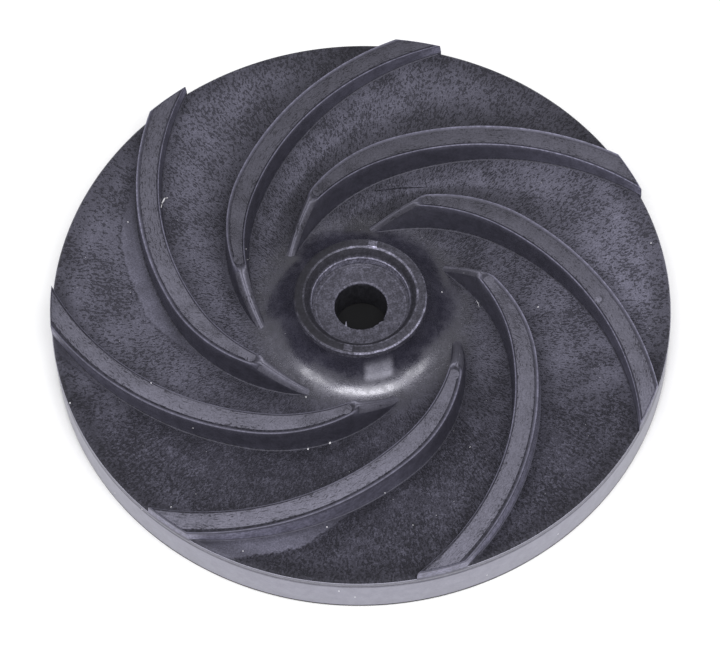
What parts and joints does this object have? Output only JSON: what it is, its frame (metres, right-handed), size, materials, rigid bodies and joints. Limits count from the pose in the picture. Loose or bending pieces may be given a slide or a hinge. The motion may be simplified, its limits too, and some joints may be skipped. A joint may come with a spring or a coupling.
{
  "type": "pump impeller",
  "caption": "Semi-open rubber pump impeller: a dished back plate with swept vanes and a flared hub with a stepped recess and a plain bore.",
  "frame": {"origin": "on the bore's axis, at the flat underside of the back plate", "axes": "+Z along the bore's axis, from the underside towards the vanes; the first vane's outer end lies between +X and +Y and the others follow counter-clockwise"},
  "size_m": [0.14, 0.14, 0.0147],
  "materials": {
    "rubber": "matte moulded black rubber, faintly mottled, with lighter scuffed edges"
  },
  "bodies": {
    "root": {"impeller": "rubber"}
  },
  "joints": []
}
